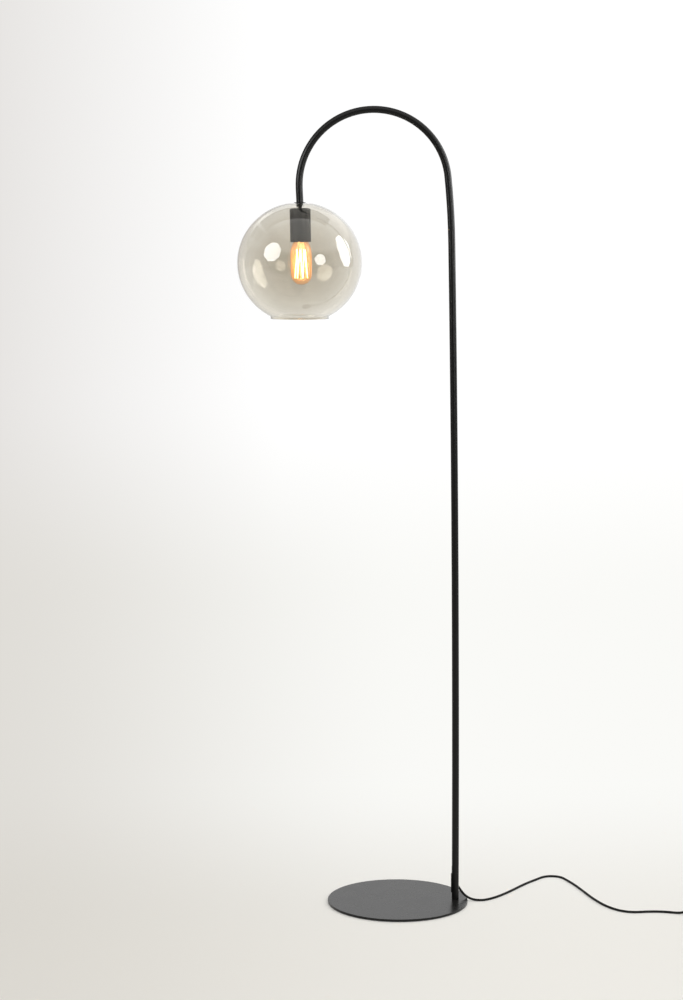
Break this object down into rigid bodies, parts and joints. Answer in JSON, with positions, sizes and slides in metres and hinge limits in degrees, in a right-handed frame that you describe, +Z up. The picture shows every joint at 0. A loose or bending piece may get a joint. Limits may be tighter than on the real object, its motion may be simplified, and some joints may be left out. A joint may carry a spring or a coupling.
{
  "type": "globe floor lamp",
  "caption": "Floor lamp with a round base, a pole bent into an arch, and a smoked glass globe that hangs from it round a screw-in tubular bulb, with a cord, foot switch and plug",
  "frame": {"origin": "on the floor, at the centre of the round base's felt underside", "axes": "+Z up; +X from the base's centre toward the pole, the globe hangs toward -X; +Y away from the viewer of the picture"},
  "size_m": [1.1505, 0.3394, 1.695],
  "materials": {
    "base_felt": "thin black felt",
    "base_black": "satin black powder coat on steel plate",
    "satin_black": "satin black lacquer",
    "zinc_steel": "bright zinc plate",
    "black_screw": "blackened steel",
    "silicone": "translucent silicone",
    "smoked_glass": "smoky grey mouth-blown glass, polished lip",
    "porcelain": "white glazed porcelain",
    "brass": "bare brass",
    "steel_screw": "plain steel",
    "holder_ring": "black thermoplastic",
    "core_brown": "brown PVC insulation",
    "core_blue": "blue PVC insulation",
    "flex": "black PVC flex",
    "bulb_cap": "rolled thread shell",
    "bulb_insulator": "black vitrite",
    "solder": "solder",
    "bulb_glass": "clear glass, faintly warm",
    "bulb_stem": "clear pressed glass",
    "support_wire": "molybdenum wire",
    "filament": "glowing carbon filament",
    "switch_black": "fine-textured black thermoplastic",
    "button_black": "polished black thermoplastic",
    "plug_pins": "nickel-plated brass"
  },
  "bodies": {
    "stand": {"base_felt": "base_felt", "base_plate": "base_black", "base_screw": "zinc_steel", "pole_foot": "zinc_steel", "pole_lower": "satin_black", "pole_joint_lower": "zinc_steel", "pole_middle": "satin_black", "pole_joint_upper": "zinc_steel", "arch_tube": "satin_black", "arch_insert": "zinc_steel", "cord_outlet": "satin_black", "outlet_screw": "black_screw", "inner_lead": "flex", "threaded_nipple": "zinc_steel", "top_washer": "satin_black", "upper_gasket": "silicone", "glass_globe": "smoked_glass", "lower_gasket": "silicone", "clamp_nut": "zinc_steel", "holder_cup": "satin_black", "holder_nuts": "zinc_steel", "holder_bracket": "zinc_steel", "bracket_screws": "zinc_steel", "holder_body": "porcelain", "screw_shell": "brass", "centre_contact": "brass", "terminal_screws": "steel_screw", "core_line": "core_brown", "core_neutral": "core_blue", "holder_ring": "holder_ring", "switch_base": "switch_black", "switch_cover": "switch_black", "switch_contacts": "brass", "switch_spring": "steel_screw", "switch_screws": "black_screw", "switch_sleeves": "switch_black", "switch_cores": "core_blue", "cord_run": "flex", "cord_lead": "flex", "cord_coil": "flex", "cord_tie": "flex", "cord_tail": "flex", "plug_body": "switch_black", "plug_pins": "plug_pins"},
    "foot_button": {"switch_button": "button_black", "switch_bridge": "brass"},
    "bulb_carrier": {"bulb_contact": "solder"},
    "bulb": {"bulb_cap": "bulb_cap", "bulb_insulator": "bulb_insulator", "bulb_glass": "bulb_glass", "bulb_stem": "bulb_stem", "bulb_supports": "support_wire", "bulb_filament": "filament"}
  },
  "joints": [
    {"name": "button_press", "type": "slide", "parent": "stand", "child": "foot_button", "axis": [0, 0, -1], "range_m": [0, 0.003], "stiffness_N_per_m": 600, "springref_m": -0.006, "deforming": ["switch_spring"]},
    {"name": "bulb_travel", "type": "slide", "parent": "stand", "child": "bulb_carrier", "axis": [0.0209, 0, -0.9998], "range_m": [0, 0.01634]},
    {"name": "bulb_turn", "type": "hinge", "parent": "bulb_carrier", "child": "bulb", "pos_m": [-0.2065, 0, 1.44501], "axis": [0.0209, 0, -0.9998], "range_deg": [0, 1620]}
  ],
  "couplings": [
    {"joint": "bulb_travel", "follows": "bulb_turn", "m_per_rad": 0.00057757}
  ]
}
